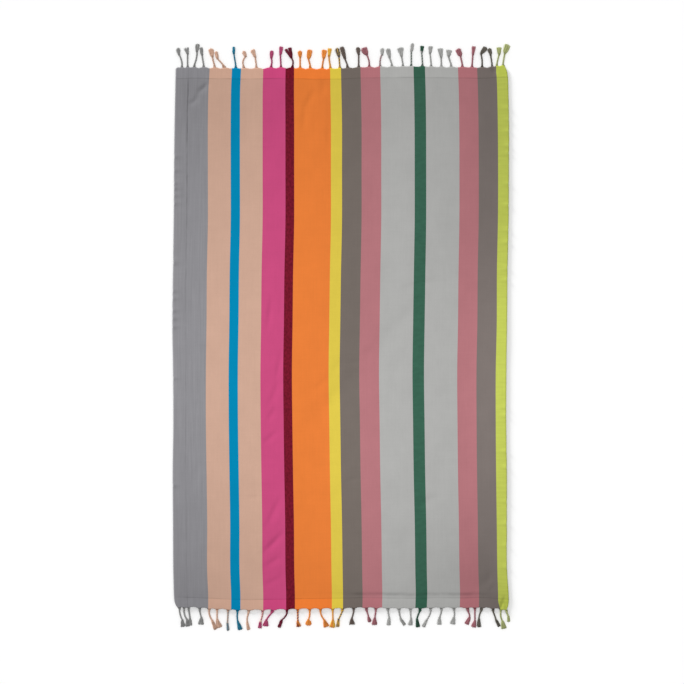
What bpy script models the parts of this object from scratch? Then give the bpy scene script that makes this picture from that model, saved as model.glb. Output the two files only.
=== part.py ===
"""A striped, flat-woven cotton beach towel with a knotted fringe at both ends, lying flat.

Frame: the origin is the middle of the cloth's underside, on the surface that the towel lies on.
+X runs across the towel to its lime selvedge, +Y along it to its top end, and +Z is up.

Three pieces, 0.3 mm apart: the cloth, which is one thin sheet with its soft creases, and a comb of
twisted, knotted tassels along each end. Sizes in capitals are in metres; the tables are in mm.
"""

import math
from collections import namedtuple

import bmesh
import bpy
import numpy as np
from mathutils import Vector
from mathutils.geometry import delaunay_2d_cdt

MM = 0.001

# The cloth, without its fringe.
CLOTH_WIDTH = 1.000
CLOTH_LENGTH = 1.615
CLOTH_THICK = 0.0015
PIECE_GAP = 0.0003

# The strip of weft that holds the roots of a fringe: the spine of its comb.
SPINE_DEPTH = 0.004
SPINE_LIFT = 0.0002

# One tassel: a twisted cord, a knot and a frayed tuft, with a fan of warp ends at its root.
ROOT_INSIDE = 0.0025
ROOT_HALF = 0.0045
ROOT_LOW, ROOT_HIGH = 0.0004, 0.0012
FAN_LENGTH = 0.006
CORD_HALF, CORD_HIGH = 0.0021, 0.0040
KNOT_HALF, KNOT_HIGH, KNOT_REACH = 0.0036, 0.0062, 0.0045
TUFT_HIGH, TIP_HIGH = 0.0045, 0.0025
TUFT_WIDEST = 0.62  # share of the way from the knot to the tip
TIP_SHARE = 0.85  # of the flare

# How far the lengthways lines of the cloth have crept sideways, at each distance along it.
Sway = namedtuple("Sway", "along left_edge grey_seam middle lime_seam right_edge")
SWAY = (
    Sway(800, 7, 6, -1, -3, -1),
    Sway(750, 6, 3, 0, -1, 0),
    Sway(650, 4, 1, 2, 1, 2),
    Sway(500, 2, 1, 2, 3, 3),
    Sway(350, 1, 1, 2, 3, 2),
    Sway(200, -1, -2, -1, 0, 0),
    Sway(50, -3, -3, -3, -2, -2),
    Sway(-100, -1, -5, -5, -4, -4),
    Sway(-250, 0, -5, -3, -4, -5),
    Sway(-400, -2, -3, -1, -4, -3),
    Sway(-550, -1, -1, 2, -2, -2),
    Sway(-700, 0, -1, 4, 0, -1),
    Sway(-770, 2, 2, 5, 2, 2),
    Sway(-800, 4, 2, 5, 2, 3),
)
SWAY_AT = Sway(None, -500, -399, 1, 467, 500)  # where each of those lines lies when it is straight

# How far each end of the cloth reaches past the nominal length, at each place across it.
Reach = namedtuple("Reach", "across top bottom")
REACH = (
    Reach(-500, -1, -3),
    Reach(-410, -1, -3),
    Reach(-350, 0, 3),
    Reach(-250, 0, 3),
    Reach(-100, 1, 2),
    Reach(50, 2, -2),
    Reach(250, 3, -3),
    Reach(420, 4, -3),
    Reach(470, 6, 0),
    Reach(500, 7, 1),
)

# The radius that each corner of the cloth is rounded to.
Corners = namedtuple("Corners", "top_left top_right bottom_left bottom_right")
CORNERS = Corners(6, 14, 14, 9)

# Soft creases: the middle of the crest, its heading from +X, half its length and width, its height.
Crease = namedtuple("Crease", "name x y heading half_length half_width height")
CREASES = (
    Crease("grey fold line, top", -462, 690, 90, 88, 11, 2.6),
    Crease("grey fold line, lower", -464, 360, 90, 220, 11, 1.4),
    Crease("grey corner crease", -414, 748, 42, 20, 8, 3.2),
    Crease("grey ripple", -430, 703, -8, 24, 9, 2.4),
    Crease("pink long crease", -203, -616, 45, 36, 11, 2.8),
    Crease("pink short crease", -203, -667, 27, 24, 9, 2.2),
    Crease("orange left trough", -111, 680, 90, 80, 15, 2.2),
    Crease("orange right trough", -62, 680, 90, 82, 17, 2.2),
    Crease("orange crease", -52, -141, 38, 24, 9, 2.2),
    Crease("light grey crease", 299, 31, 34, 24, 9, 2.6),
    Crease("light grey hollow", 272, -483, 90, 42, 15, 2.2),
    Crease("rose pucker", 372, 120, 80, 60, 14, 1.6),
)

# Puckers of the selvedges: how far along the towel each one's crest meets the edge.
LEFT, RIGHT = -1, 1
PUCKERS = {
    LEFT: (144, 117, 85, 49, -118),
    RIGHT: (688, 652, 619, 565, 461, 398, 324, 288, 210, 174)
    + (-205, -229, -337, -385, -486, -552, -618, -683),
}
PUCKER_LENGTH, PUCKER_HALF, PUCKER_HIGH = 0.026, 0.009, 0.0026
PUCKER_STATIONS = (0.35, 0.7, 1.0)  # shares of the way in from the edge
CREST_STEP = 3.2  # between the points on a crease's crest, in half-widths
FOOT_WIDTH = 0.35  # of a crease's width is left at its two ends

# Tassels, from left to right: the root's place across the cloth, how far the cord bows sideways
# between root and knot, the knot's and the tip's place (sideways, and out from the cloth's end),
# and how wide the tuft flares.
Tassel = namedtuple("Tassel", "root bow knot_side knot_out tip_side tip_out flare")
TOP_TASSELS = (
    Tassel(-475, 3, -8, 39, -12, 59, 12),
    Tassel(-458, 0, 0, 42, -4, 60, 14),
    Tassel(-441, 3, 11, 49, 13, 71, 13),
    Tassel(-409, 0, -6, 39, -9, 62, 11),
    Tassel(-375, -1, -9, 33, -14, 57, 15),
    Tassel(-344, 0, -25, 28, -29, 49, 10),
    Tassel(-313, 0, -7, 43, -7, 62, 9),
    Tassel(-287, -7, 2, 34, -4, 50, 11),
    Tassel(-252, 0, -4, 32, -12, 54, 14),
    Tassel(-211, 3, 3, 29, 5, 49, 11),
    Tassel(-179, 0, -2, 39, 1, 63, 12),
    Tassel(-148, 5, -1, 32, -12, 56, 20),
    Tassel(-122, 0, 0, 32, -1, 51, 12),
    Tassel(-90, 0, -7, 27, -2, 54, 15),
    Tassel(-57, 0, 5, 28, 7, 51, 16),
    Tassel(-30, -1, -6, 35, -3, 56, 12),
    Tassel(-3, 0, -3, 34, -9, 56, 13),
    Tassel(22, 0, -10, 27, -21, 61, 12),
    Tassel(53, 0, 0, 40, -3, 61, 12),
    Tassel(84, 3, -7, 39, -15, 59, 16),
    Tassel(118, -3, 4, 39, 6, 59, 11),
    Tassel(154, 0, -9, 31, -14, 57, 14),
    Tassel(186, 0, -5, 34, -9, 57, 18),
    Tassel(210, 0, 0, 49, 4, 73, 10),
    Tassel(244, 0, -3, 48, -1, 65, 12),
    Tassel(270, 0, -4, 44, -2, 64, 14),
    Tassel(300, 0, -1, 31, -4, 55, 17),
    Tassel(331, 0, -10, 34, -8, 51, 19),
    Tassel(364, 0, -7, 35, -15, 55, 17),
    Tassel(391, 0, 3, 40, 6, 64, 12),
    Tassel(421, 2, -3, 42, 8, 62, 13),
    Tassel(452, 0, -5, 39, -9, 58, 12),
    Tassel(464, 0, 8, 40, 8, 61, 15),
    Tassel(483, 0, 6, 41, 14, 67, 17),
)
BOTTOM_TASSELS = (
    Tassel(-483, -2, 9, 34, 11, 54, 14),
    Tassel(-468, -4, 8, 32, 10, 53, 12),
    Tassel(-457, 1, 6, 30, 7, 50, 12),
    Tassel(-424, 0, 7, 27, 6, 47, 18),
    Tassel(-394, -3, 9, 35, 20, 61, 12),
    Tassel(-370, 0, 0, 32, 7, 56, 17),
    Tassel(-337, 0, -2, 43, 0, 65, 8),
    Tassel(-308, -2, 0, 39, 8, 63, 14),
    Tassel(-273, -3, -7, 41, -3, 63, 10),
    Tassel(-233, 1, -7, 38, -9, 58, 12),
    Tassel(-200, -2, -23, 34, -25, 52, 18),
    Tassel(-161, 5, -16, 34, -24, 56, 11),
    Tassel(-129, 0, 0, 38, 3, 54, 14),
    Tassel(-94, 2, -3, 33, -3, 50, 17),
    Tassel(-62, -3, 12, 34, 18, 54, 13),
    Tassel(-25, 0, 1, 34, -2, 56, 15),
    Tassel(7, 0, -14, 32, -17, 54, 10),
    Tassel(39, 1, -7, 30, -6, 47, 17),
    Tassel(72, 2, 10, 26, 14, 39, 13),
    Tassel(105, 0, -4, 28, -5, 48, 13),
    Tassel(139, 0, 5, 28, 3, 49, 13),
    Tassel(172, 0, 6, 30, 18, 49, 10),
    Tassel(207, 0, 2, 30, 0, 49, 14),
    Tassel(240, -2, -13, 31, -10, 55, 13),
    Tassel(269, 3, -14, 35, -23, 54, 12),
    Tassel(301, 1, -7, 27, -8, 47, 15),
    Tassel(335, 3, 2, 26, -2, 46, 17),
    Tassel(374, 3, 10, 26, 1, 46, 14),
    Tassel(400, 0, 0, 37, -4, 55, 15),
    Tassel(424, -3, -12, 31, -12, 55, 13),
    Tassel(451, 1, 12, 34, 22, 53, 10),
    Tassel(478, -3, 4, 37, 9, 59, 16),
    Tassel(492, 0, 8, 23, 9, 39, 9),
)

TOP, BOTTOM = 1, -1
EDGE_STEP = 0.045  # between the plain points of the cloth's outline
END_SHARED = 0.470  # as far out as this, an end has its points at the same places at any depth
CORNER_STEPS = 4  # points on a rounded corner
INSIDE_ONLY = 1  # the triangulation keeps only what the outline holds
MERGE = 1e-6


def clear_scene():
    for obj in list(bpy.data.objects):
        bpy.data.objects.remove(obj, do_unlink=True)


def new_collection(name, hidden=False):
    collection = bpy.data.collections.new(name)
    bpy.context.scene.collection.children.link(collection)
    collection.hide_render = hidden
    return collection


def material(name, color, roughness):
    """A matt fabric."""
    made = bpy.data.materials.new(name)
    made.use_nodes = True
    shader = made.node_tree.nodes["Principled BSDF"]
    shader.inputs["Base Color"].default_value = (*color, 1.0)
    shader.inputs["Roughness"].default_value = roughness
    shader.inputs["Metallic"].default_value = 0.0
    return made


def column(table, name):
    return [getattr(row, name) * MM for row in table]


def between(x, places, values):
    """Values at places, read at x along straight lines; places may fall or rise."""
    order = np.argsort(places)
    return float(np.interp(x, np.asarray(places)[order], np.asarray(values)[order]))


def sway(x, y):
    """How far the lengthways line that belongs at x has crept sideways at y."""
    along = column(SWAY, "along")
    lines = Sway._fields[1:]
    creep = [between(y, along, column(SWAY, line)) for line in lines]
    return between(x, [getattr(SWAY_AT, line) * MM for line in lines], creep)


def end_line(x, end):
    """The cloth's end, as a Y, at the place x across it."""
    reach = between(x, column(REACH, "across"), column(REACH, "top" if end == TOP else "bottom"))
    return end * (CLOTH_LENGTH / 2 + reach)


def corner_inset(radius, depth):
    """How far a rounded corner draws the side in, at a depth inside the end line."""
    if depth >= radius:
        return 0.0
    return radius - math.sqrt(radius**2 - (radius - depth) ** 2)


def corner_radius(side, end):
    """Side is LEFT or RIGHT, and end is TOP or BOTTOM."""
    name = ("top" if end == TOP else "bottom") + ("_left" if side == LEFT else "_right")
    return getattr(CORNERS, name) * MM


def side_edge(side, end, depth):
    """The point on the cloth's side at a depth inside its end line, where a corner may be rounded."""
    nominal = side * CLOTH_WIDTH / 2
    y = end_line(nominal, end) - end * depth
    inset = side * corner_inset(corner_radius(side, end), depth)
    return Vector((nominal + sway(nominal, y) - inset, y))


def spread(start, stop, step):
    """Even steps, each no longer than step, with both ends."""
    return np.linspace(start, stop, 1 + math.ceil(abs(stop - start) / step))


def end_row(end, depth):
    """Points across the cloth along one end, a depth inside its end line, from left to right."""
    left, right = side_edge(LEFT, end, depth).x, side_edge(RIGHT, end, depth).x
    places = (left, *spread(-END_SHARED, END_SHARED, EDGE_STEP), right)
    return [Vector((x, end_line(x, end) - end * depth)) for x in places]


def corner_points(side, end, depth):
    """Points on the rounded corner, from the end row to the straight side."""
    depths = np.linspace(depth, corner_radius(side, end), CORNER_STEPS)[1:]
    return [side_edge(side, end, d) for d in depths]


def side_points(side, low, high, puckers):
    """Points along a selvedge, from low to high, with three at each pucker."""
    nominal = side * CLOTH_WIDTH / 2
    near = [y * MM + step * PUCKER_HALF for y in puckers for step in (-1, 0, 1)]
    even = spread(low, high, EDGE_STEP)[1:-1]
    plain = [y for y in even if min(abs(y - taken) for taken in near) > EDGE_STEP / 3]
    return [Vector((nominal + sway(nominal, y), y)) for y in sorted(near + plain)]


def cloth_outline():
    """The cloth's edge, anticlockwise from the bottom end's left."""
    inside = SPINE_DEPTH + PIECE_GAP
    sides = {}
    for side, puckers in PUCKERS.items():
        below, above = corner_points(side, BOTTOM, inside), corner_points(side, TOP, inside)
        sides[side] = below + side_points(side, below[-1].y, above[-1].y, puckers) + above[::-1]
    return end_row(BOTTOM, inside) + sides[RIGHT] + end_row(TOP, inside)[::-1] + sides[LEFT][::-1]


def crease_points(crease):
    """A crest that rises and falls along its length, and the two lines where it meets the flat."""
    heading = math.radians(crease.heading)
    along = Vector((math.cos(heading), math.sin(heading)))
    across = along.orthogonal()
    middle = Vector((crease.x, crease.y)) * MM
    points = []
    for share in spread(-1, 1, CREST_STEP * crease.half_width / crease.half_length):
        rise = 1 - share**2
        crest = middle + along * share * crease.half_length * MM
        points.append((crest, crease.height * MM * rise))
        for side in (-1, 1):
            width = crease.half_width * MM * (FOOT_WIDTH + (1 - FOOT_WIDTH) * rise)
            points.append((crest + across * side * width, 0.0))
    return points


def pucker_points(side, y):
    """One pucker of a selvedge: a crest that is highest at the edge and dies away inwards."""
    points = []
    for share in PUCKER_STATIONS:
        x = side * (CLOTH_WIDTH / 2 - share * PUCKER_LENGTH)
        x += sway(x, y)
        points.append((Vector((x, y)), PUCKER_HIGH * (1 - share)))
        if share < 1:
            points += [(Vector((x, y + step * PUCKER_HALF)), 0.0) for step in (-1, 1)]
    return points


def edge_height(point):
    """The height of a point of the outline: at a pucker's crest it is lifted, elsewhere it is flat."""
    crests = PUCKERS[RIGHT if point.x > 0 else LEFT]
    return PUCKER_HIGH if any(abs(point.y - y * MM) < MM / 2 for y in crests) else 0.0


def cloth_sheet():
    """The cloth's underside, as a triangulated surface that lies on z = 0 but for its creases."""
    outline = cloth_outline()
    points = [(point, edge_height(point)) for point in outline]
    for crease in CREASES:
        points += crease_points(crease)
    for side, places in PUCKERS.items():
        for y in places:
            points += pucker_points(side, y * MM)
    edge_loop = list(range(len(outline)))
    plan = delaunay_2d_cdt([point for point, _ in points], [], [edge_loop], INSIDE_ONLY, MERGE)
    flat, _, faces, origins = plan[:4]
    heights = [points[origin[0]][1] for origin in origins]
    mesh = bpy.data.meshes.new("towel_cloth")
    mesh.from_pydata([(p.x, p.y, z) for p, z in zip(flat, heights)], [], faces)
    return mesh


def cloth(collection):
    obj = bpy.data.objects.new("towel_cloth", cloth_sheet())
    collection.objects.link(obj)
    thicken = obj.modifiers.new("thickness of the cloth", "SOLIDIFY")
    thicken.thickness = CLOTH_THICK
    thicken.offset = 1.0
    obj.data.materials.append(material("striped cotton", (0.56, 0.38, 0.30), 0.9))
    return obj


def spine(name, end):
    """The strip of weft along one end, just outside the cloth's own edge."""
    low, high = SPINE_LIFT, CLOTH_THICK
    made = bmesh.new()
    rings = []
    for outer, inner in zip(end_row(end, 0.0), end_row(end, SPINE_DEPTH)):
        corners = ((outer, low), (inner, low), (inner, high), (outer, high))
        rings.append([made.verts.new((p.x, p.y, z)) for p, z in corners])
    return closed_loft(name, made, rings)


def closed_loft(name, made, rings):
    """A solid through rings of equal count, capped at both ends."""
    for one, two in zip(rings, rings[1:]):
        for i in range(len(one)):
            j = (i + 1) % len(one)
            made.faces.new((one[i], one[j], two[j], two[i]))
    made.faces.new(rings[0])
    made.faces.new(rings[-1])
    bmesh.ops.recalc_face_normals(made, faces=made.faces)
    mesh = bpy.data.meshes.new(name)
    made.to_mesh(mesh)
    made.free()
    return bpy.data.objects.new(name, mesh)


def cord_place(tassel, share):
    """Sideways and outward place on the cord, from 0 at its root to 1 at the knot, bowed."""
    bow = tassel.bow * 4 * share * (1 - share)
    return tassel.knot_side * share + bow, tassel.knot_out * share


def tuft_place(tassel, share):
    """Sideways and outward place on the tuft, from 0 at the knot to 1 at its tip."""
    side = tassel.knot_side + share * (tassel.tip_side - tassel.knot_side)
    return side, tassel.knot_out + share * (tassel.tip_out - tassel.knot_out)


def tassel_sections(tassel):
    """(sideways, outward) in mm, half-width, lowest and highest z of each section, root to tip."""
    tuft = math.dist(tuft_place(tassel, 0), tuft_place(tassel, 1)) * MM
    cord = math.hypot(tassel.knot_side, tassel.knot_out) * MM
    flare = tassel.flare / 2 * MM
    sections = [
        ((0, -ROOT_INSIDE / MM), ROOT_HALF, ROOT_LOW, ROOT_HIGH),
        (cord_place(tassel, FAN_LENGTH / cord), CORD_HALF, 0, CORD_HIGH),
    ]
    if tassel.bow:
        sections.append((cord_place(tassel, 0.5), CORD_HALF, 0, CORD_HIGH))
    return sections + [
        (cord_place(tassel, 1 - KNOT_REACH / cord), CORD_HALF, 0, CORD_HIGH),
        (tuft_place(tassel, 0), KNOT_HALF, 0, KNOT_HIGH),
        (tuft_place(tassel, KNOT_REACH / tuft), CORD_HALF, 0, CORD_HIGH),
        (tuft_place(tassel, TUFT_WIDEST), flare, 0, TUFT_HIGH),
        (tuft_place(tassel, 1), flare * TIP_SHARE, 0, TIP_HIGH),
    ]


def tooth(name, tassel, end):
    """One tassel: six-sided sections with flat undersides, lofted along its cord and tuft."""
    x = tassel.root * MM
    y = end_line(x, end)
    sections = tassel_sections(tassel)
    line = [Vector((x + side * MM, y + end * out * MM)) for (side, out), *_ in sections]
    made = bmesh.new()
    rings = []
    for i, (_, half, low, high) in enumerate(sections):
        ahead = line[min(i + 1, len(line) - 1)] - line[i - 1] if i else Vector((0, end))
        across = ahead.normalized().orthogonal() * half
        waist = low + 0.45 * (high - low)
        outline = ((-0.5, low), (0.5, low), (1, waist), (0.5, high), (-0.5, high), (-1, waist))
        rings.append([made.verts.new((*(line[i] + across * side), z)) for side, z in outline])
    return closed_loft(name, made, rings)


def comb(name, end, tassels, color, collection, helpers):
    """A fringe: its spine with every tassel joined to it as one solid."""
    obj = spine(name, end)
    collection.objects.link(obj)
    teeth = bpy.data.collections.new(name + " teeth")
    helpers.children.link(teeth)
    for number, tassel in enumerate(tassels, 1):
        part = tooth(f"{name}_tooth_{number:02d}", tassel, end)
        part.hide_render = True
        part.display_type = "WIRE"
        teeth.objects.link(part)
    join = obj.modifiers.new("tassels on the spine", "BOOLEAN")
    join.operation = "UNION"
    join.solver = "EXACT"
    join.operand_type = "COLLECTION"
    join.collection = teeth
    obj.data.materials.append(material(name + " yarn", color, 0.95))
    return obj


def main():
    clear_scene()
    towel = new_collection("beach towel")
    helpers = new_collection("tassels to join", hidden=True)
    cloth(towel)
    comb("fringe_top", TOP, TOP_TASSELS, (0.50, 0.40, 0.36), towel, helpers)
    comb("fringe_bottom", BOTTOM, BOTTOM_TASSELS, (0.46, 0.36, 0.38), towel, helpers)


main()
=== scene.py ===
# %% [markdown]
# # A striped beach towel, lying flat
#
# The real thing is a flat-woven cotton towel: one thin cloth whose coloured warp makes the lengthways
# stripes. At both ends the warp is left long, gathered into bundles, twisted and knotted, and that is
# the fringe.
#
# It is built as three pieces: a cloth, which is one grid bent in its own small creases, and two fringes,
# each of them many thin yarns joined into one mesh. Everything is in metres, in the frame of the measured
# model: +X runs across the towel, +Y along it, and +Z is up.

import math
from collections import namedtuple

import bpy
import numpy as np
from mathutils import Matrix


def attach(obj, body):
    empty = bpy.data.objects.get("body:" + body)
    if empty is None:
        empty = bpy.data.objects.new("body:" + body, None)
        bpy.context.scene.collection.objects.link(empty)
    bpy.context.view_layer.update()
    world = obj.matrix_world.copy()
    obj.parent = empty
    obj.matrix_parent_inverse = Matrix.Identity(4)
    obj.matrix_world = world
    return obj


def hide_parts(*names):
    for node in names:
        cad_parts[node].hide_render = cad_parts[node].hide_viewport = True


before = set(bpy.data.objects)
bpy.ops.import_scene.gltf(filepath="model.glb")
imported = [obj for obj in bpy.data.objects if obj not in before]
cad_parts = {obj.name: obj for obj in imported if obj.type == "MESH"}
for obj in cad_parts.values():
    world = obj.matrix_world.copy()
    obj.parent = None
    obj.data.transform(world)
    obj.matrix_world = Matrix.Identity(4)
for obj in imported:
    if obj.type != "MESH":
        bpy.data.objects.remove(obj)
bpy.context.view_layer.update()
MM = 0.001

# %% [markdown]
# ## Stripes
#
# The towel is striped by its warp: each dye runs the whole length, so a colour depends only on the
# place across the cloth, and a list of dyes and widths holds it all. A dye is deeper in a twisted
# tassel, where no pale weft crosses it, so it has one colour in the cloth and one in the yarn.

# %% Dyes and stripes
IN_CLOTH, IN_YARN = 0, 1  # the two colours of each dye
DYES = {
    "grey": ("8E8D91", "858584"),
    "beige": ("CCA692", "C29F8B"),
    "blue": ("0087B4", "1D6C86"),
    "pink": ("C84C7E", "9E4065"),
    "maroon": ("72172A", "5F1429"),
    "orange": ("E67E39", "D18239"),
    "yellow": ("DAC44A", "CFA43C"),
    "taupe": ("746B65", "5F544E"),
    "rose": ("B3757B", "925D65"),
    "light": ("ADADAB", "989896"),
    "green": ("396250", "264838"),
    "stone": ("7A716D", "59554D"),
    "lime": ("BDC759", "989E6A"),
}
Stripe = namedtuple("Stripe", "dye width_mm")
STRIPES = [Stripe(*row) for row in (
    ("grey", 101.5),
    ("beige", 68),
    ("blue", 27.5),
    ("beige", 67.5),
    ("pink", 68),
    ("maroon", 26),
    ("orange", 109.5),
    ("yellow", 33),
    ("taupe", 58.5),
    ("rose", 59),
    ("light", 100),
    ("green", 34.4),
    ("light", 99.1),
    ("rose", 57.5),
    ("stone", 57.5),
    ("lime", 33),
)]
WIDTH = sum(stripe.width_mm for stripe in STRIPES) * MM
LENGTH = 1.615
THICK = 0.0013
print(f"{len(STRIPES)} stripes, {WIDTH:.3f} m across")

# %% [markdown]
# ## A smooth line through a few measured places
#
# Nothing woven is quite straight. A short table gives a shape at a few places, and a cubic between them
# keeps it free of corners: it leaves each point with the slope that its neighbours suggest.


# %% Smooth interpolation
def column(table, name):
    """One named column of a table in mm, as metres."""
    return np.array([getattr(row, name) for row in table], float) * MM


def span_of(x, places):
    """Which span between rising places x falls in, and how far along it, from 0 to 1."""
    x = np.clip(x, places[0], places[-1])
    i = np.clip(np.searchsorted(places, x) - 1, 0, len(places) - 2)
    return i, (x - places[i]) / (places[i + 1] - places[i])


def smooth_through(x, places, values):
    """Cubic Hermite: each span blends its two values and the mean slopes there, held flat outside."""
    order = np.argsort(places)
    places, values = np.asarray(places)[order], np.asarray(values)[order]
    slopes = np.gradient(values, places)
    i, t = span_of(x, places)
    ease = t * t * (3 - 2 * t)
    rise = t * (1 - t) ** 2 * slopes[i] - t * t * (1 - t) * slopes[i + 1]
    return values[i] * (1 - ease) + values[i + 1] * ease + rise * (places[i + 1] - places[i])


def across_lines(x, y, places, table, names):
    """A value known along a few lengthways lines: smooth along each, and straight between them."""
    along = column(table, "along")
    lines = np.stack([smooth_through(y, along, column(table, name)) for name in names])
    i, t = span_of(x, np.asarray(places, float))
    low = np.take_along_axis(lines, i[None], 0)[0]
    high = np.take_along_axis(lines, i[None] + 1, 0)[0]
    return low * (1 - t) + high * t


# %% [markdown]
# ## The outline
#
# The first table holds how far each lengthways line has crept, the second how far each end reaches past
# the nominal length, and each corner is rounded by an ellipse of its own size.

# %% Creep, ends and corners
Creep = namedtuple("Creep", "along left_edge grey_seam middle green lime_seam right_edge")
CREEP = [Creep(*row) for row in (
    (800, 6.4, 6, -1, -2, -3, -1.5),
    (750, 5.4, 3, 0, -0.5, -1, -0.5),
    (650, 3.4, 1, 2, 1, 1, 1.5),
    (500, 1.4, 1, 2, 1.5, 2, 1),
    (350, 0.4, 1, 2, 1.4, 1.5, 0.2),
    (200, -1.6, -2, -1, -0.8, -1.5, -3),
    (50, -3.6, -3, -3, -3, -2, -4.5),
    (-100, -1.6, -5, -5, -5, -5, -6.5),
    (-250, -0.6, -5, -3, -3.4, -5, -7),
    (-400, -2.6, -3, -1, -1.5, -4, -5),
    (-550, -1.6, -1, 2, 1.6, -2, -5),
    (-700, -0.6, -1, 4, 3.5, 0, -4),
    (-770, 1.4, 2, 5, 4.5, 2, 0.5),
    (-800, 3.4, 2, 5, 3.5, 2, 1.5),
)]
CREEP_AT = np.array([-500, -399, 1, 252, 467, 500]) * MM

Reach = namedtuple("Reach", "across top bottom")
REACH = [Reach(*row) for row in (
    (-500, 1, -3),
    (-440, 3, -1),
    (-395, 2, 2),
    (-350, 1, 5),
    (-290, 0, 7),
    (-250, 1, 7),
    (-190, 2, 6),
    (-130, 1, 4),
    (-70, -1, 3),
    (0, 0, 2),
    (50, 3, 0),
    (120, 5, 1),
    (220, 6, 2),
    (280, 5, 0),
    (360, 4, 0.5),
    (430, 3, -0.5),
    (455, 5, 2),
    (478, 7, 5),
    (500, 8, 5),
)]
Corner = namedtuple("Corner", "side end across_mm along_mm")
CORNERS = (Corner(-1, 1, 4, 7), Corner(1, 1, 15, 46), Corner(-1, -1, 12, 30), Corner(1, -1, 4, 14))
CORNER_SOFT = 0.045  # how far in a rounded corner still moves the cloth
# the end of the last stripe is drawn together between its two tassels
PINCH_AT, PINCH_FROM, PINCH_SOFT, PINCH_ALONG, PINCH_SHARE = 0.485, 0.462, 0.008, 0.030, 0.38


def creep(x, y):
    """How far the lengthways line that belongs at x has crept sideways at y."""
    return across_lines(x, y, CREEP_AT, CREEP, Creep._fields[1:])


def end_reach(x, end):
    """How far an end, 1 at the top and -1 at the bottom, reaches past the nominal length at x."""
    name = "top" if end > 0 else "bottom"
    return smooth_through(x, column(REACH, "across"), column(REACH, name))


def corner_draw(x, y):
    """Sideways pull at the corners: an ellipse's inset at the edge, dying away further in."""
    draw = np.zeros_like(x)
    for corner in CORNERS:
        depth = np.clip((LENGTH / 2 - corner.end * y) / (corner.along_mm * MM), 0, 1)
        inset = corner.across_mm * MM * (1 - np.sqrt(np.maximum(1 - (1 - depth) ** 2, 0)))
        inward = np.clip((WIDTH / 2 - corner.side * x) / CORNER_SOFT, 0, 1)
        draw -= corner.side * inset * (1 - inward) ** 2
    return draw


def pinch(x, y):
    """Towards the pinch by a share of the distance, which fades inside the cloth and past the stripe."""
    near = np.clip(1 - (LENGTH / 2 + y) / PINCH_ALONG, 0, 1) ** 1.5
    inside = np.clip((x - PINCH_FROM + PINCH_SOFT) / PINCH_SOFT, 0, 1)
    return (PINCH_AT - x) * PINCH_SHARE * near * inside


# %% [markdown]
# ## Tassels, as a table
#
# Each tassel is a bundle of warp ends: it leaves the cloth at a root, runs as a twisted cord to a
# knot, and opens in a tuft that is cut off square. They were twisted by hand and fell as they liked,
# so each has a row of its own: where the root is, how far the cord bows, where knot and tip are
# (sideways, and out from the end), how wide the tuft flares, and the dyes of its strands. Tufts are
# mostly closed clubs at the top and brushed-out fans at the bottom, and a row says where they aren't. Its
# last columns are a tuft's own dyes, and the share of it that is parted in the middle.

# %% The tassels of both ends
Tassel = namedtuple(
    "Tassel",
    "root bow knot_side knot_out tip_side tip_out flare strands opening tuft split",
    defaults=(None, "", 0.0),
)
FAN, CLUB = "fan", "club"
TOP_TASSELS = [Tassel(*row) for row in (
    (-475, 3, -8, 39, -12, 59, 12, "grey"),
    (-458, 0, 0, 42, -4, 60, 14, "grey", FAN, "", 0.3),
    (-441, 3, 11, 49, 13, 71, 13, "grey"),
    (-409, 0, -6, 39, -9, 61, 11, "grey"),
    (-375, -1, -9, 33, -14, 57, 15, "beige"),
    (-344, 0, -25, 28, -29, 49, 10, "beige"),
    (-313, 0, -7, 43, -7, 62, 9, "blue", FAN),
    (-287, -7, 2, 34, -4, 50, 11, "beige"),
    (-252, 0, -4, 32, -12, 54, 14, "beige", FAN),
    (-211, 3, 3, 29, 5, 51, 11, "pink"),
    (-179, 0, -2, 39, 1, 63, 12, "pink", FAN),
    (-148, 5, 0, 30, -10, 58, 21, "maroon", FAN, "", 0.1),
    (-122, 0, 0, 32, -1, 51, 12, "orange"),
    (-90, 0, -7, 27, -2, 54, 15, "orange"),
    (-57, 0, 5, 28, 7, 53, 16, "orange", FAN),
    (-30, -1, -6, 35, -3, 58, 12, "yellow orange", FAN, "yellow yellow orange"),
    (-3, 0, -3, 34, -9, 59, 13, "yellow taupe", None, "stone stone taupe yellow"),
    (22, 0, -10, 27, -20, 63, 13, "taupe"),
    (53, 0, 0, 40, -3, 61, 12, "taupe"),
    (84, 3, -7, 39, -17, 60, 19, "rose"),
    (118, -3, 4, 39, 6, 59, 11, "rose light", None, "light"),
    (154, 0, -9, 31, -14, 57, 14, "light"),
    (186, 0, -5, 34, -9, 60, 18, "light", FAN),
    (210, 0, 0, 49, 4, 73, 10, "green light", None, "light"),
    (244, 0, -3, 48, -1, 65, 12, "green light", FAN, "green"),
    (270, 0, -4, 44, -2, 64, 14, "light", FAN),
    (300, 0, -1, 31, -4, 58, 17, "light", FAN),
    (331, 0, -10, 34, -8, 53, 19, "light", FAN),
    (364, 0, -7, 35, -15, 56.5, 17, "rose"),
    (391, 0, 3, 40, 6, 64, 12, "rose", FAN),
    (421, 2, -3, 42, 12, 62, 14, "stone"),
    (452, 0, -5, 39, -9, 58, 12, "stone"),
    (464, 0, 8, 40, 8, 61, 15, "lime", FAN),
    (483, 0, 6, 43, 15, 70, 17, "lime"),
)]
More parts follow.
